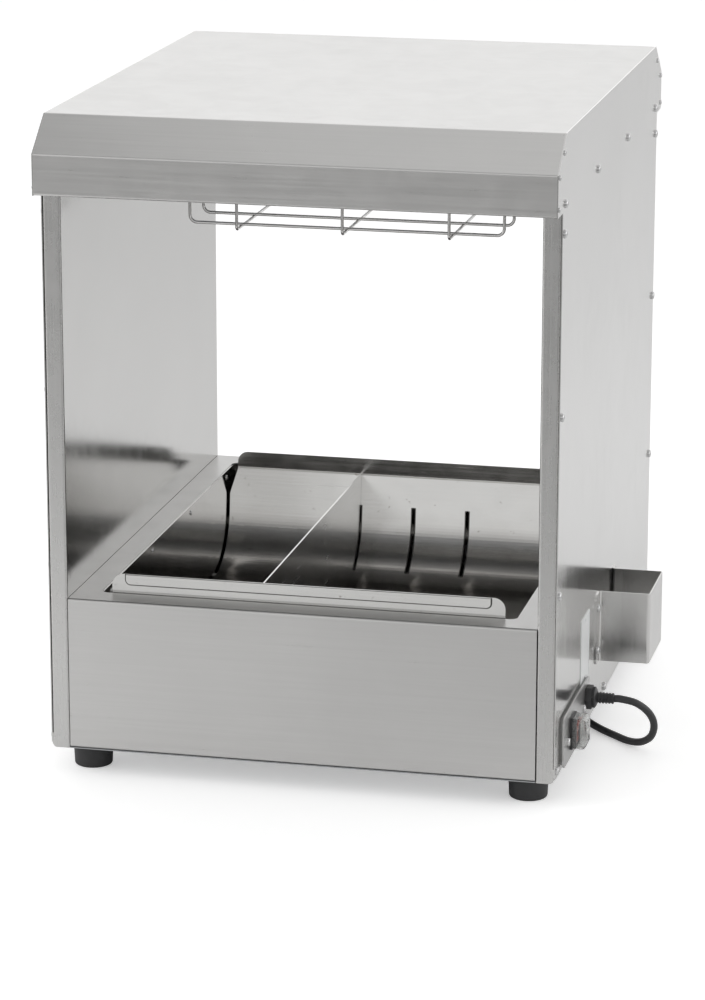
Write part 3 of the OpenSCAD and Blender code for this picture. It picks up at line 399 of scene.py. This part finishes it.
NODE_FINISH = {
    "hood": ["hood_cover"],
    "base": ["base_shell"],
    "post": ["side_frame_left", "side_frame_right"],
    "skin": ["side_skin_left", "side_skin_right"],
    "well": ["well_liner"],
    "pan": ["chip_pan"],
    "divider": ["pan_divider"],
    "holder": ["scoop_holder"],
    "plate": ["control_plate"],
    "dull": ["base_floor", "pan_rails", "element_supports", "lamp_brackets", "hood_ceiling"],
    "screw": ["hood_end_screws", "side_screws_left", "side_screws_right", "floor_screws",
              "foot_screws", "well_screws", "control_screws", "holder_screws"],
    "wire": ["wire_guard"],
    "reflector": ["lamp_reflector"],
    "element": ["heating_element"],
    "rubber": ["feet"],
    "gasket": ["control_gasket"],
    "black": ["thermal_cutout", "switch_body", "cable_gland", "gland_locknut", "mains_plug"],
    "cord": ["power_cord", "cord_coil"],
    "ivory": ["terminal_block"],
    "rocker": ["switch_rocker"],
    "ceramic": ["lamp_end_caps"],
    "quartz": ["quartz_lamp_front", "quartz_lamp_rear"],
    "cover": ["switch_cover"],
}
for finish, names in NODE_FINISH.items():
    for name in names:
        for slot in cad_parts[name].material_slots:
            slot.material = FINISH[finish]


# Mains cord: the same route as the solids, one smooth curve to the plug

EXIT = (269.5, -124, 62)
ROUTE = [
    (277, -124, 62), (291, -121, 58), (302, -114, 47), (306, -106, 33), (302, -97, 18),
    (291, -86, 8), (277, -74, 4), (261, -60, 4), (244, -43, 4), (228, -22, 4), (214, 4, 4),
    (202, 34, 4), (191, 70, 4), (180, 112, 4), (170, 160, 4), (161, 212, 4), (154, 262, 4),
    (150, 306, 4), (150, 330, 4),
]
COIL_MID = (99, 345)
COIL_R = 43
TURN_PITCH = CORD_D + 0.6
CORD_LIFT = CORD_D / 2 + 0.2
PLUG_Z = 18.8
TAIL = 46


def smooth(t):
    return t * t * (3 - 2 * t)


def coil_point(a):
    inward, climb = 720, 180
    if a < inward:
        r = COIL_R + TURN_PITCH - TURN_PITCH * a / 360
    elif a < inward + climb:
        r = COIL_R - TURN_PITCH - 2 * math.sin(math.pi * (a - inward) / climb)
    else:
        r = COIL_R - TURN_PITCH + TURN_PITCH * (a - inward - climb) / 360
    z = CORD_LIFT + TURN_PITCH * smooth(min(1, max(0, (a - inward) / climb)))
    t = math.radians(a)
    return Vector((COIL_MID[0] + r * math.cos(t), COIL_MID[1] + r * math.sin(t), z))


def spline(points, per_span):
    """Catmull-Rom curve through the points."""
    p = [Vector(q) for q in points]
    p = [2 * p[0] - p[1]] + p + [2 * p[-1] - p[-2]]
    out = []
    for i in range(1, len(p) - 2):
        for k in range(per_span):
            t = k / per_span
            a, b, c, d = p[i - 1:i + 3]
            out.append(0.5 * (2 * b + (c - a) * t + (2 * a - 5 * b + 4 * c - d) * t ** 2
                              + (3 * b - a - 3 * c + d) * t ** 3))
    return out + [p[-2]]


def cord_path():
    start = Vector((COIL_MID[0] + COIL_R + TURN_PITCH, COIL_MID[1] - CORD_D - 1, CORD_LIFT))
    path = spline([EXIT, *ROUTE, start], 4)
    path += [start + Vector((0, CORD_D * k / 2, 0)) for k in (1, 2)]
    path += [coil_point(a / 2) for a in range(15, 3061, 15)]
    end = coil_point(1530)
    rise = PLUG_Z - end.z
    path += [end + Vector((-s, 0, rise * smooth(min(1, s / (TAIL - 10)))))
             for s in range(4, TAIL + 1, 3)]
    return path


def add_cord():
    points = [at(*p) for p in cord_path()]
    curve = bpy.data.curves.new("mains_lead", "CURVE")
    curve.dimensions = "3D"
    curve.bevel_depth = CORD_D / 2 * MM
    curve.bevel_resolution = 4
    curve.use_fill_caps = True
    line = curve.splines.new("POLY")
    line.points.add(len(points) - 1)
    for target, p in zip(line.points, points):
        target.co = (*p, 1)
    line.use_smooth = True
    lead = bpy.data.objects.new("mains_lead", curve)
    bpy.context.scene.collection.objects.link(lead)
    lead.data.materials.append(FINISH["cord"])
    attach(lead, "cabinet")
    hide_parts("power_cord", "cord_coil")


add_cord()


# Screws: one modelled for each size, copied to every place


def use(*objects):
    bpy.ops.object.select_all(action="DESELECT")
    for obj in objects:
        obj.select_set(True)
    bpy.context.view_layer.objects.active = objects[0]


def settle(obj):
    use(obj)
    bpy.ops.object.transform_apply(location=True, rotation=True, scale=True)
    return obj


def choose(obj, kind, pick):
    """Enters edit mode on obj with the faces or edges selected that the rule picks."""
    use(obj)
    bpy.ops.object.mode_set(mode="EDIT")
    bpy.ops.mesh.select_mode(type=kind)
    bpy.ops.mesh.select_all(action="DESELECT")
    bpy.ops.object.mode_set(mode="OBJECT")
    mesh = obj.data
    if kind == "FACE":
        for face in mesh.polygons:
            face.select = bool(pick(face.center / MM, face.normal))
    else:
        for edge in mesh.edges:
            a, b = (mesh.vertices[i].co / MM for i in edge.vertices)
            edge.select = bool(pick(a, b))
    bpy.ops.object.mode_set(mode="EDIT")


def done(obj, angle=35):
    bpy.ops.object.mode_set(mode="OBJECT")
    use(obj)
    bpy.ops.object.shade_smooth_by_angle(angle=math.radians(angle))
    return obj


def bevel(obj, pick, offset, segments, profile=0.5):
    """Bevels the edges that the rule picks, by so many millimetres."""
    choose(obj, "EDGE", pick)
    bpy.ops.mesh.bevel(offset=offset * MM, segments=segments, profile=profile, affect="EDGES")
    bpy.ops.object.mode_set(mode="OBJECT")


def dress(obj, finish, node=None):
    """Gives a new piece its finish, and the CAD node that it stands in for, if any."""
    obj.data.materials.clear()
    obj.data.materials.append(FINISH[finish])
    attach(obj, "cabinet")
    if node:
        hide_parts(node)


def turn_right(obj, x, middle):
    """Turns a piece modelled upright so that its top looks right, with its seat at x."""
    place = at(x, *middle)
    obj.matrix_world = Matrix.Translation(place) @ Matrix.Rotation(math.pi / 2, 4, "Y")
    settle(obj)


def cylinder(name, sides, radius, low, high, place=(0, 0)):
    """A cylinder on the Z axis, in millimetres."""
    bpy.ops.mesh.primitive_cylinder_add(vertices=sides, radius=radius * MM,
                                        depth=(high - low) * MM,
                                        location=(place[0] * MM, place[1] * MM,
                                                  (low + high) / 2 * MM))
    obj = bpy.context.object
    obj.name = name
    return settle(obj)


def block(name, low, high):
    """A block between two corners, in millimetres."""
    low, high = Vector(low), Vector(high)
    bpy.ops.mesh.primitive_cube_add(size=1, location=(low + high) / 2 * MM)
    obj = bpy.context.object
    obj.name = name
    obj.scale = (high - low) * MM
    return settle(obj)


def cut(obj, tool):
    """Takes the tool's shape out of a piece and removes the tool."""
    use(obj)
    modifier = obj.modifiers.new("cut", "BOOLEAN")
    modifier.operation = "DIFFERENCE"
    modifier.object = tool
    modifier.solver = "EXACT"
    bpy.ops.object.modifier_apply(modifier=modifier.name)
    bpy.data.objects.remove(tool)
    return obj


def grow(height, ratio=1.0):
    """Extrudes the selected face up by so many millimetres and scales its new rim."""
    bpy.ops.mesh.extrude_region_move(TRANSFORM_OT_translate={"value": (0, 0, height * MM)})
    if ratio != 1.0:
        bpy.ops.transform.resize(value=(ratio, ratio, 1))


def model_screw(shank_d, length, head_d, head_h):
    """A domed pan head with a cross recess, its seat at z = 0 and its shank below."""
    screw = cylinder("screw_model", 28, head_d / 2, 0, head_h)
    bevel(screw, lambda a, b: min(a.z, b.z) > head_h - 0.01, head_h * 0.72, 4, profile=0.55)
    choose(screw, "FACE", lambda c, n: n.z < -0.9)
    bpy.ops.mesh.inset(thickness=(head_d - shank_d) / 2 * MM)
    grow(-(length - 0.8))
    grow(-0.8, 0.7)
    bpy.ops.object.mode_set(mode="OBJECT")
    wide, thin, deep = head_d * 0.27, head_d * 0.075, head_h * 0.55
    for turn in (0, math.pi / 2):
        tool = block("recess", (-wide, -thin, head_h - deep), (wide, thin, head_h + 1))
        choose(tool, "FACE", lambda c, n: n.z < -0.9)
        bpy.ops.transform.resize(value=(0.45, 0.7, 1))
        bpy.ops.object.mode_set(mode="OBJECT")
        tool.rotation_euler = (0, 0, turn)
        settle(tool)
        cut(screw, tool)
    return done(screw)


def islands(mesh):
    """The bounds of each separate solid in a CAD node, as (low, high) in metres."""
    keys, parent = [], {}
    for vertex in mesh.vertices:
        key = tuple(round(c * 1e5) for c in vertex.co)
        keys.append(key)
        parent.setdefault(key, key)

    def root(k):
        while parent[k] != k:
            parent[k] = parent[parent[k]]
            k = parent[k]
        return k

    for face in mesh.polygons:
        first = root(keys[face.vertices[0]])
        for index in face.vertices[1:]:
            parent[root(keys[index])] = first
    groups = {}
    for key, vertex in zip(keys, mesh.vertices):
        groups.setdefault(root(key), []).append(vertex.co)
    found = []
    for points in groups.values():
        low = Vector([min(p[i] for p in points) for i in range(3)])
        high = Vector([max(p[i] for p in points) for i in range(3)])
        found.append((low, high, points))
    found.sort(key=lambda f: tuple(round(c, 4) for c in f[0]))
    return found


def head_direction(low, high, points, axis):
    """Plus or minus one: the end of the screw's axis where its head is."""
    middle = (low + high) / 2
    spread = {-1: 0.0, 1: 0.0}
    for p in points:
        side = 1 if p[axis] > middle[axis] else -1
        reach = max(abs(p[i] - middle[i]) for i in range(3) if i != axis)
        spread[side] = max(spread[side], reach)
    return 1 if spread[1] > spread[-1] else -1


def add_screws(node, model, head_h, axis):
    """Copies of the model in the places and directions of a CAD node's screws."""
    copies = []
    for number, (low, high, points) in enumerate(islands(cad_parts[node].data)):
        sign = head_direction(low, high, points, axis)
        out = Vector([sign if i == axis else 0 for i in range(3)])
        seat = (low + high) / 2
        seat[axis] = (high[axis] if sign > 0 else low[axis]) - sign * head_h * MM
        turn = Z.rotation_difference(out).to_matrix().to_4x4()
        twist = Matrix.Rotation(0.7 + 1.9 * number, 4, "Z")
        copy = model.copy()
        copy.data = model.data.copy()
        bpy.context.scene.collection.objects.link(copy)
        copy.matrix_world = Matrix.Translation(seat) @ turn @ twist
        settle(copy)
        copies.append(copy)
    use(*copies)
    bpy.ops.object.join()
    screws = bpy.context.object
    screws.name = node + "_heads"
    dress(screws, "screw", node)


HEAD_H, SMALL_HEAD_H, FLAT_HEAD_H = 2.4, 1.5, 1.0
large = model_screw(shank_d=4, length=8, head_d=8, head_h=HEAD_H)
small = model_screw(shank_d=2.5, length=5, head_d=5, head_h=SMALL_HEAD_H)
flat = model_screw(shank_d=2.5, length=5, head_d=5, head_h=FLAT_HEAD_H)
for node in ("side_screws_left", "side_screws_right", "control_screws", "holder_screws"):
    add_screws(node, large, HEAD_H, 0)
add_screws("hood_end_screws", small, SMALL_HEAD_H, 0)
add_screws("well_screws", flat, FLAT_HEAD_H, 0)
add_screws("floor_screws", small, SMALL_HEAD_H, 2)
for model in (large, small, flat):
    bpy.data.objects.remove(model)


# Cable gland: hexagon, ribbed dome nut and a ringed bend relief on the mains lead

HEXAGON_R, HEXAGON_H = 12.1, 6
DOME_R, DOME_SIDES = 9.6, 48
THREAD_R, THREAD_L = 9.5, 16
RINGS = 5


def add_gland():
    hexagon = cylinder("gland_hexagon", 6, HEXAGON_R, 0, HEXAGON_H)
    bevel(hexagon, lambda a, b: True, 0.5, 2)
    done(hexagon, 25)
    dome = cylinder("gland_dome", DOME_SIDES, DOME_R, HEXAGON_H - 0.4, HEXAGON_H + 2.6)
    # Every other face of the rim sinks between the ribs
    rib = 360 / DOME_SIDES
    choose(dome, "FACE", lambda c, n: abs(n.z) < 0.5
           and round(math.degrees(math.atan2(c.y, c.x)) / rib - 0.5) % 2 == 0)
    bpy.ops.mesh.extrude_region_shrink_fatten(
        MESH_OT_extrude_region={"use_normal_flip": False},
        TRANSFORM_OT_shrink_fatten={"value": 0.45 * MM})
    bpy.ops.object.mode_set(mode="OBJECT")
    choose(dome, "FACE", lambda c, n: n.z > 0.9 and c.xy.length < 1)
    grow(1.1, 0.86)
    grow(0.7, 0.78)
    grow(0.2, 0.9)
    done(dome, 30)
    relief = cylinder("gland_relief", 32, CORD_D / 2 + 2, 9, 11)
    choose(relief, "FACE", lambda c, n: n.z > 0.9)
    for ring in range(RINGS):
        grow(0.25, 0.84)
        grow(1.1)
        grow(0.25, 1 / 0.84 * 0.985)
        grow(1.4)
    grow(0.3, 0.92)
    bpy.ops.mesh.inset(thickness=0.35 * MM)
    done(relief, 30)
    thread = cylinder("gland_thread", 40, THREAD_R, -THREAD_L, 0.2)
    use(hexagon, dome, relief, thread)
    bpy.ops.object.join()
    gland = bpy.context.object
    gland.name = "gland_nut"
    turn_right(gland, PLATE_X, GLAND)
    dress(gland, "black", "cable_gland")


add_gland()


# Collar round the rocker, seen through the clear cover: half sizes of its outside and its mouth

COLLAR, MOUTH, COLLAR_H = (14, 11.25), (12.7, 9.2), 3.6


def add_collar():
    collar = block("switch_collar", (-COLLAR[0], -COLLAR[1], 0), (*COLLAR, COLLAR_H))
    bevel(collar, lambda a, b: abs(a.z - b.z) > 3, 2, 4)
    bevel(collar, lambda a, b: min(a.z, b.z) > COLLAR_H - 0.1, 0.6, 2)
    cut(collar, block("mouth", (-MOUTH[0], -MOUTH[1], -1), (*MOUTH, 5)))
    done(collar, 30)
    turn_right(collar, BEZEL_X, SWITCH)
    dress(collar, "black")


add_collar()


# Blank rating plate on the right side, with its two rivets

LABEL_H, LABEL_W, LABEL_T = 66, 46, 0.6
# Lower front corner of the plate, as (y, z), and how far the rivets are from its ends
LABEL_CORNER, RIVET_IN = (-141, 75), 5


def add_plate():
    plate = block("blank_plate", (0, 0, 0), (LABEL_H, LABEL_W, LABEL_T))
    bevel(plate, lambda a, b: abs(a.z - b.z) > 0.3, 3, 5)
    choose(plate, "FACE", lambda c, n: n.z > 0.9)
    bpy.ops.mesh.inset(thickness=1.6 * MM)
    bpy.ops.mesh.extrude_region_move(TRANSFORM_OT_translate={"value": (0, 0, -0.25 * MM)})
    done(plate, 30)
    rivets = []
    for x in (RIVET_IN, LABEL_H - RIVET_IN):
        rivet = cylinder("rivet", 20, 1.6, 0.3, 1.3, place=(x, LABEL_W / 2))
        bevel(rivet, lambda a, b: min(a.z, b.z) > 1.2, 0.8, 4)
        rivets.append(done(rivet))
    use(plate, *rivets)
    bpy.ops.object.join()
    # Its length stands upright, its thickness looks to the right
    standing = Matrix(((0, 0, 1, 0), (0, 1, 0, 0), (1, 0, 0, 0), (0, 0, 0, 1)))
    plate.matrix_world = Matrix.Translation(at(SKIN_X, *LABEL_CORNER)) @ standing
    settle(plate)
    bpy.ops.object.mode_set(mode="EDIT")
    bpy.ops.mesh.select_all(action="SELECT")
    bpy.ops.mesh.normals_make_consistent(inside=False)
    bpy.ops.object.mode_set(mode="OBJECT")
    dress(plate, "label")


add_plate()


# Lamp filaments: a wound wire in each quartz tube

# Half length of the winding, its turns, points in a turn and radius, and its wire's radius
WOUND, TURNS, TURN_POINTS, TURN_R, WIRE_R = 105, 52, 10, 2.4, 0.35


def add_filament(node):
    low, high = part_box(node)
    middle = (low + high) / 2
    points = []
    for i in range(TURNS * TURN_POINTS + 1):
        a = math.tau * i / TURN_POINTS
        points.append(middle + Vector((-WOUND + 2 * WOUND * i / (TURNS * TURN_POINTS),
                                       TURN_R * math.cos(a), TURN_R * math.sin(a))) * MM)
    tail = [middle + Vector((s, 0, 0)) * MM for s in (-WOUND - 18, -WOUND - 3)]
    points = tail + points + [2 * middle - p for p in tail[::-1]]
    curve = bpy.data.curves.new(node + "_coil", "CURVE")
    curve.dimensions = "3D"
    curve.bevel_depth = WIRE_R * MM
    curve.bevel_resolution = 1
    line = curve.splines.new("POLY")
    line.points.add(len(points) - 1)
    for target, p in zip(line.points, points):
        target.co = (*p, 1)
    wire = bpy.data.objects.new(node + "_filament", curve)
    bpy.context.scene.collection.objects.link(wire)
    use(wire)
    bpy.ops.object.convert(target="MESH")
    dress(bpy.context.object, "filament")


for tube in ("quartz_lamp_front", "quartz_lamp_rear"):
    add_filament(tube)


# Stage: pale floor, white surround and soft lamps

# Glow that keeps the floor white to the camera, brightness of the surround at eye level and
# overhead, and the share of it that is left on the camera's side
FLOOR_GLOW = 0.4
HORIZON = 1.2
ZENITH = 0.5
FRONT_SHARE = 0.72


def surround():
    """White to the camera, and to the metal a bright horizon under a softer ceiling."""
    world = bpy.data.worlds.new("studio")
    bpy.context.scene.world = world
    world.use_nodes = True
    tree = world.node_tree
    back = tree.nodes["Background"]
    path = tree.nodes.new("ShaderNodeLightPath")
    seen = tree.nodes.new("ShaderNodeMath")
    seen.operation = "MAXIMUM"
    tree.links.new(path.outputs["Is Camera Ray"], seen.inputs[0])
    tree.links.new(path.outputs["Is Transmission Ray"], seen.inputs[1])
    way = tree.nodes.new("ShaderNodeSeparateXYZ")
    tree.links.new(tree.nodes.new("ShaderNodeTexCoord").outputs["Generated"], way.inputs[0])

    def ranged(output, low, high, out_low, out_high):
        node = tree.nodes.new("ShaderNodeMapRange")
        for key, number in (("From Min", low), ("From Max", high), ("To Min", out_low),
                            ("To Max", out_high)):
            node.inputs[key].default_value = number
        tree.links.new(way.outputs[output], node.inputs["Value"])
        return node.outputs["Result"]

    level = tree.nodes.new("ShaderNodeMath")
    level.operation = "MULTIPLY"
    tree.links.new(ranged("Z", 0.3, 0.9, HORIZON, ZENITH), level.inputs[0])
    tree.links.new(ranged("Y", -0.3, 0.3, FRONT_SHARE, 1.0), level.inputs[1])
    pick = tree.nodes.new("ShaderNodeMix")
    tree.links.new(seen.outputs[0], pick.inputs[0])
    tree.links.new(level.outputs[0], pick.inputs[2])
    pick.inputs[3].default_value = 1.0
    tree.links.new(pick.outputs[0], back.inputs["Strength"])
    back.inputs["Color"].default_value = (1, 1, 1, 1)


# Painted shade on the floor, seen by the metal alone: its grey in front of the warmer, by distance
# in front of it in metres
FLOOR_FALL = [(0.3, 0.95), (0.64, 0.93), (1.36, 0.62), (2.1, 0.4), (2.6, 0.35)]


def add_floor():
    """A floor that stays white to the camera, while the metal sees it darken to the front."""
    bpy.ops.mesh.primitive_plane_add(size=14, location=(0, 0, FLOOR_Z))
    floor = bpy.context.object
    floor.name = "floor"
    bpy.ops.object.transform_apply(location=True, rotation=True, scale=True)
    n = Nodes("pale_floor")
    n.set(Roughness=0.6, Specular_IOR_Level=0.2)
    reach = FLOOR_FALL[-1][0]
    front = n.range(n.axis("Y"), 0, -reach, 0, 1)
    grey = n.ramp(front, [(0.0, 0.96)] + [(d / reach, g) for d, g in FLOOR_FALL])
    # Painted light and shade on the floor, for the metal only: lighter to the left of the warmer
    # and darker to its right
    aside = n.range(n.axis("X"), -0.4, 0.4, 1.02, 0.72)
    only_front = n.range(n.axis("Y"), -0.3, -0.6, 0, 1)
    grey = n.mix(only_front, grey, n.mix(1.0, grey, aside, "MULTIPLY"))
    path = n.add("ShaderNodeLightPath")
    cloud = n.mix(n.noise((1.5, 1.5, 1.5), detail=2), (0.86, 0.86, 0.86), (0.88, 0.88, 0.88))
    n.link(n.mix(path.outputs["Is Camera Ray"], grey, cloud), n.shader.inputs["Base Color"])
    glow = n.add("ShaderNodeEmission")
    glow.inputs["Color"].default_value = (1, 1, 1, 1)
    n.link(n.range(path.outputs["Is Camera Ray"], 0, 1, 0, FLOOR_GLOW), glow.inputs["Strength"])
    both = n.add("ShaderNodeAddShader")
    n.link(n.shader.outputs[0], both.inputs[0])
    n.link(glow.outputs[0], both.inputs[1])
    n.link(both.outputs[0], n.tree.nodes["Material Output"].inputs["Surface"])
    floor.data.materials.append(n.material)


def softbox(name, place, aim, size, power):
    """A soft oblong lamp of so many watts, turned to a point of the warmer."""
    bpy.ops.object.light_add(type="AREA", location=place)
    lamp = bpy.context.object
    lamp.name = name
    lamp.data.shape = "RECTANGLE"
    lamp.data.size, lamp.data.size_y = size
    lamp.data.energy = power
    lamp.rotation_euler = (Vector(aim) - Vector(place)).to_track_quat("-Z", "Y").to_euler()


surround()
add_floor()
softbox("overhead", (0.3, 0.2, 2.6), (0, 0, 0.3), (2.6, 2.2), 6)
softbox("left_window", (-2.4, -1.4, 1.5), (0, 0, 0.3), (1.6, 1.8), 26)
softbox("right_fill", (2.6, -0.2, 1.2), (0, 0, 0.35), (1.6, 1.8), 12)

bpy.context.scene.view_settings.view_transform = "Standard"
